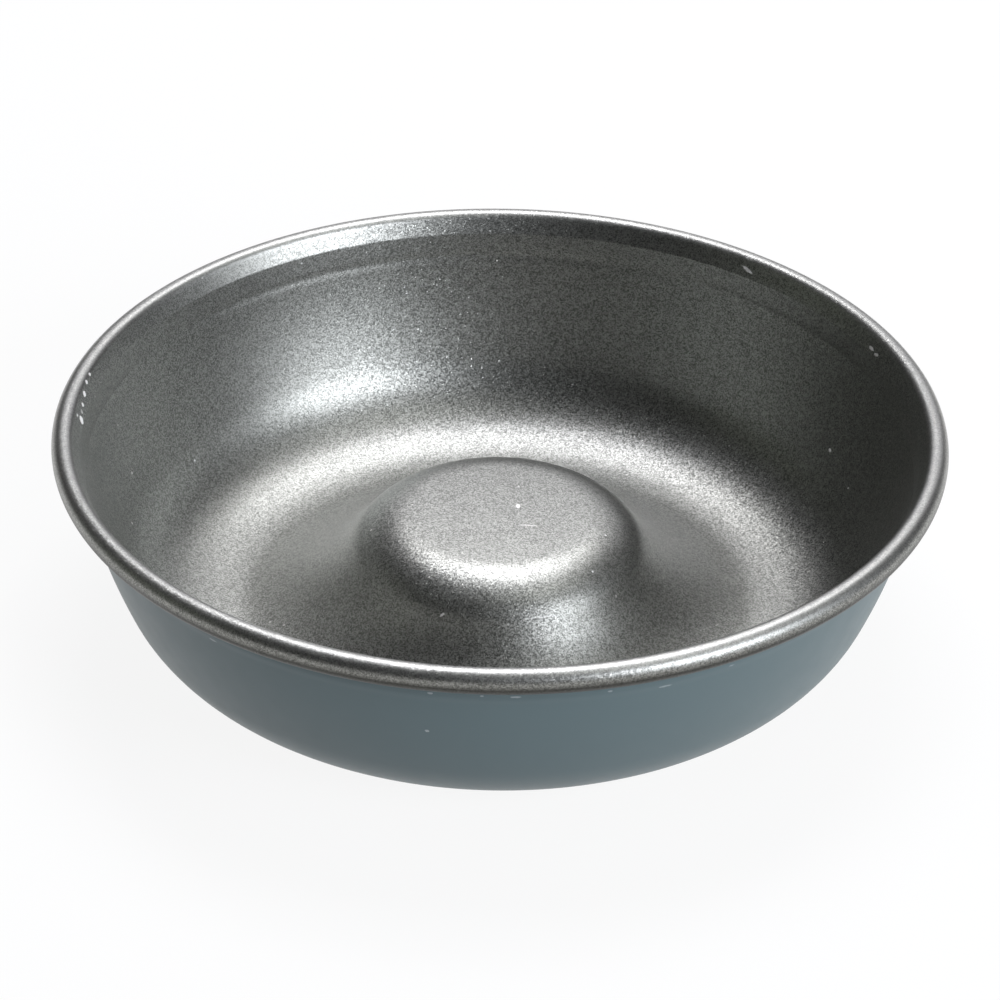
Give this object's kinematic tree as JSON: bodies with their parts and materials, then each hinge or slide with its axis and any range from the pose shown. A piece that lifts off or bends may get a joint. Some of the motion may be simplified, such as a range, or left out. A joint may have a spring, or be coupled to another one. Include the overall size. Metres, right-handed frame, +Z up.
{
  "type": "savarin mould",
  "caption": "Round ring-shaped baking mould with a raised centre and a rolled rim, for baking a small ring cake.",
  "frame": {"origin": "centre of the flat ring that the mould stands on", "axes": "+Z up along the mould's axis"},
  "size_m": [0.1, 0.1, 0.0253],
  "materials": {
    "coated_steel": "semi-gloss grey flake non-stick coating inside and over the rim, smooth satin blue-grey lacquer outside"
  },
  "bodies": {
    "root": {"mould_shell": "coated_steel"}
  },
  "joints": []
}
